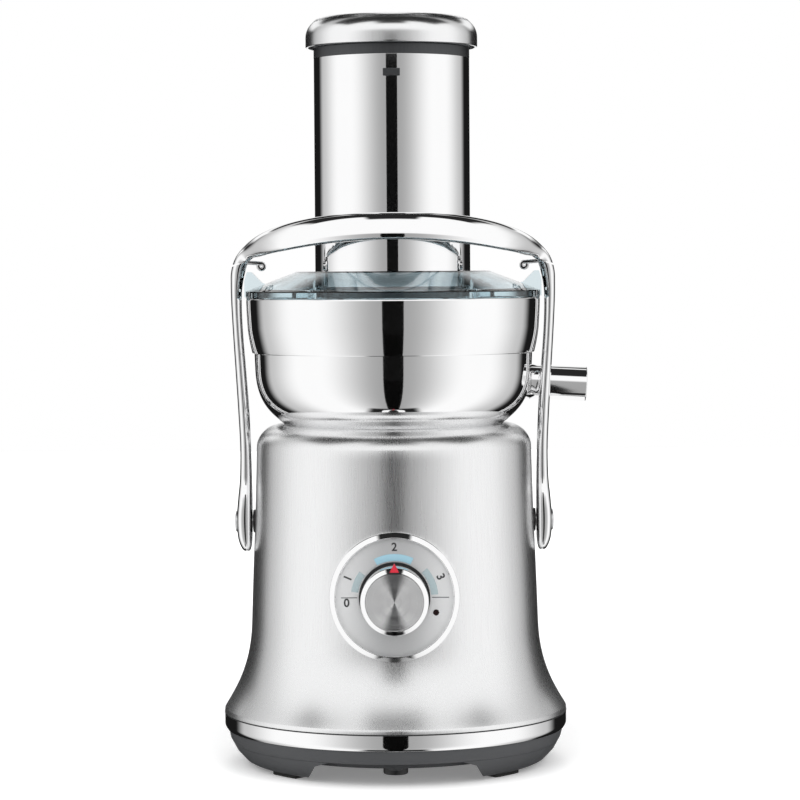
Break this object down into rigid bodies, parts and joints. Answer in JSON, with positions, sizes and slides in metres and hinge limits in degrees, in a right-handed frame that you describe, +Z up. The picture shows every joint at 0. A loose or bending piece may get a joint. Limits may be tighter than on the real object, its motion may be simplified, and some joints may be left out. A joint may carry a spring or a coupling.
{
  "type": "centrifugal juicer",
  "caption": "Centrifugal juicer: round motor base with speed dial, bowl with side spout, clear lid with feed chute, pusher, locking arm and pulp container.",
  "frame": {"origin": "on the table, on the motor shaft's axis, in the middle of the round base", "axes": "+Z up along the motor shaft, -Y the front with the speed dial, +X to the right with the juice spout"},
  "size_m": [0.2201, 0.3253, 0.447],
  "materials": {
    "brushed_housing": "fine vertical satin brushing",
    "polished_steel": "mirror polished",
    "satin_steel": "satin, spun",
    "plinth_plastic": "fine moulded grain",
    "black_plastic": "matt moulded",
    "grey_plastic": "matt moulded",
    "dark_band": "semi gloss moulded",
    "foot_rubber": "matt",
    "screw_steel": "zinc plated",
    "cast_bracket": "die cast",
    "core_steel": "stacked laminations",
    "copper_wire": "varnished wire",
    "brass": "stamped",
    "carbon": "pressed carbon",
    "bearing_steel": "ground",
    "circuit_board": "solder mask",
    "filter_case": "moulded",
    "light_lens": "lit translucent lens",
    "lamp_lens": "dark lens, unlit",
    "smoked_clear": "clear smoke-blue moulding",
    "steel_mesh": "fine etched filter mesh",
    "red_insert": "gloss",
    "container_plastic": "smoke-grey moulding"
  },
  "bodies": {
    "base": {"base_shell": "brushed_housing", "base_ring": "polished_steel", "plinth": "plinth_plastic", "foot_ring": "plinth_plastic", "bottom_plate": "plinth_plastic", "rubber_feet": "foot_rubber", "base_screws": "screw_steel", "cord_gland": "black_plastic", "top_deck": "grey_plastic", "shaft_seal": "black_plastic", "motor_upper_bracket": "cast_bracket", "motor_lower_bracket": "cast_bracket", "motor_mounts": "foot_rubber", "motor_screws": "screw_steel", "stator_core": "core_steel", "field_coils": "copper_wire", "brush_holders": "brass", "carbon_brushes": "carbon", "upper_bearing": "bearing_steel", "lower_bearing": "bearing_steel", "control_board": "circuit_board", "mains_filter": "filter_case", "speed_encoder": "black_plastic", "dial_housing": "black_plastic", "dial_bezel": "polished_steel", "dial_face": "satin_steel", "speed_lights": "light_lens", "overload_lamp": "lamp_lens", "pivot_bushes": "black_plastic", "interlock_switch": "black_plastic", "bowl_shell": "polished_steel", "bowl_collar": "polished_steel", "juice_tray": "grey_plastic", "spout_tube": "polished_steel", "lid": "smoked_clear", "chute_sleeve": "polished_steel", "chute_collar": "dark_band"},
    "spinner": {"motor_shaft": "screw_steel", "armature_core": "core_steel", "armature_windings": "copper_wire", "commutator": "copper_wire", "cooling_fan": "black_plastic", "drive_coupling": "black_plastic", "basket_base": "satin_steel", "basket_mesh": "steel_mesh", "basket_rim": "satin_steel", "cutting_disc": "satin_steel"},
    "locking_arm": {"arm_bow": "polished_steel", "arm_leg_left": "polished_steel", "arm_leg_right": "polished_steel", "arm_catches": "polished_steel", "interlock_cam": "black_plastic"},
    "speed_dial": {"dial_knob": "satin_steel", "dial_core": "black_plastic", "dial_pointer": "red_insert", "dial_shaft": "screw_steel"},
    "food_pusher": {"pusher_tube": "grey_plastic", "pusher_cap": "satin_steel"},
    "interlock": {"interlock_plunger": "black_plastic"},
    "pulp_bin": {"pulp_container": "container_plastic"}
  },
  "joints": [
    {"name": "arm_swing", "type": "hinge", "parent": "base", "child": "locking_arm", "pos_m": [0, 0, 0.145], "axis": [1, 0, 0], "range_deg": [0, 105]},
    {"name": "dial_turn", "type": "hinge", "parent": "base", "child": "speed_dial", "pos_m": [0, -0.1, 0.1082], "axis": [0, 1, 0], "range_deg": [-90, 70]},
    {"name": "pusher_lift", "type": "slide", "parent": "base", "child": "food_pusher", "axis": [0, 0, 1], "range_m": [0, 0.18]},
    {"name": "basket_spin", "type": "hinge", "parent": "base", "child": "spinner", "pos_m": [0, 0, 0.2], "axis": [0, 0, 1], "continuous": true},
    {"name": "container_pull", "type": "slide", "parent": "base", "child": "pulp_bin", "axis": [0, 1, 0], "range_m": [0, 0.15]},
    {"name": "interlock_travel", "type": "slide", "parent": "base", "child": "interlock", "axis": [0, 0, 1], "range_m": [0, 0.0031]}
  ],
  "couplings": [
    {"joint": "interlock_travel", "follows": "arm_swing", "m_per_rad": 0.001637}
  ]
}
